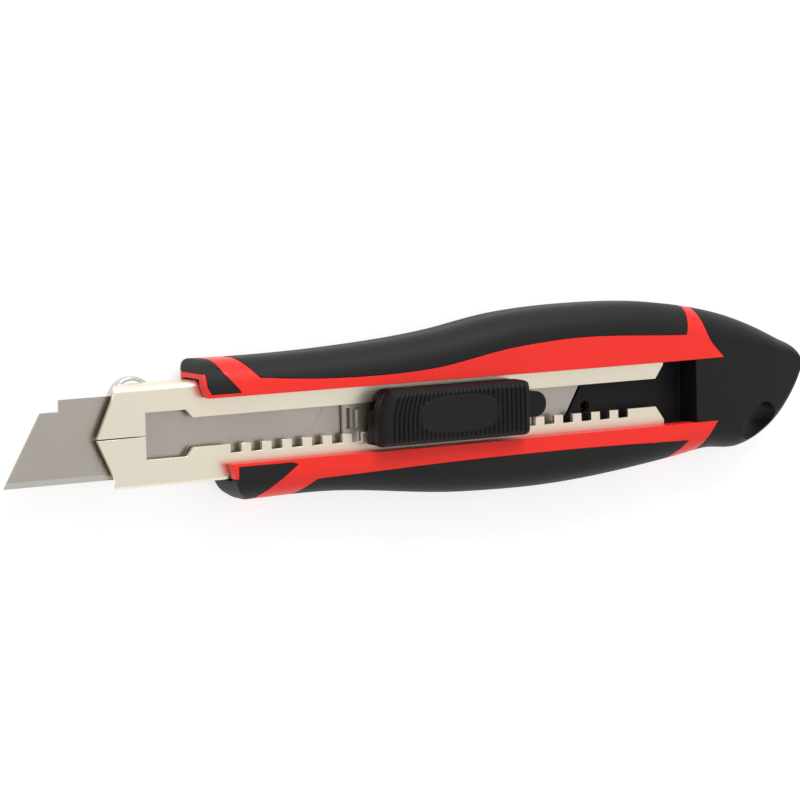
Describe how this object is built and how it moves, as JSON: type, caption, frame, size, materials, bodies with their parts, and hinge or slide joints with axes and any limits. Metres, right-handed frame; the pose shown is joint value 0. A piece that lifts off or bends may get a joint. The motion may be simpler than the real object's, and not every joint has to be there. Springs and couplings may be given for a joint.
{
  "type": "snap-off knife",
  "caption": "Snap-off utility knife: segmented blade in a steel guide channel, locking thumb slider, moulded handle with soft grips and a pull-off magazine cap.",
  "frame": {"origin": "on the handle's flat back, under the middle of the handle and cap", "axes": "+X from the blade to the cap's end, +Y to the handle's upper side, +Z out of the side with the thumb slider"},
  "size_m": [0.2065, 0.0406, 0.0203],
  "materials": {
    "red_plastic": "moulded, satin gloss",
    "soft_grip": "matt thermoplastic rubber",
    "black_plastic": "fine-grained moulded",
    "nickel_sheet": "folded sheet, warm nickel plate",
    "blade_steel": "ground blade steel",
    "bright_steel": "plain bright steel"
  },
  "bodies": {
    "handle": {"handle_core": "red_plastic", "grip_upper": "soft_grip", "grip_lower": "soft_grip", "grip_nose_upper": "soft_grip", "grip_nose_lower": "soft_grip", "guide_channel": "nickel_sheet", "channel_rivet_front": "bright_steel", "channel_rivet_rear": "bright_steel", "nose_ring": "bright_steel", "nose_ring_rivet": "bright_steel", "spare_blade_1": "blade_steel", "spare_blade_2": "blade_steel", "magazine_spring": "bright_steel"},
    "slider": {"blade": "blade_steel", "blade_carrier": "bright_steel", "blade_pin": "bright_steel", "carrier_rivet_front": "bright_steel", "carrier_rivet_rear": "bright_steel", "slider_base": "black_plastic", "slider_thumb_piece": "soft_grip", "pawl_spring": "bright_steel"},
    "pawl": {"lock_pawl": "bright_steel"},
    "cap": {"end_cap": "black_plastic"}
  },
  "joints": [
    {"name": "slider_slide", "type": "slide", "parent": "handle", "child": "slider", "axis": [1, 0, 0], "range_m": [-0.03, 0.03]},
    {"name": "pawl_lift", "type": "slide", "parent": "slider", "child": "pawl", "axis": [0, 1, 0], "range_m": [0, 0.0022], "stiffness_N_per_m": 400, "springref_m": -0.001, "deforming": ["pawl_spring"]},
    {"name": "cap_pull", "type": "slide", "parent": "handle", "child": "cap", "axis": [1, 0, 0], "range_m": [0, 0.03]}
  ]
}
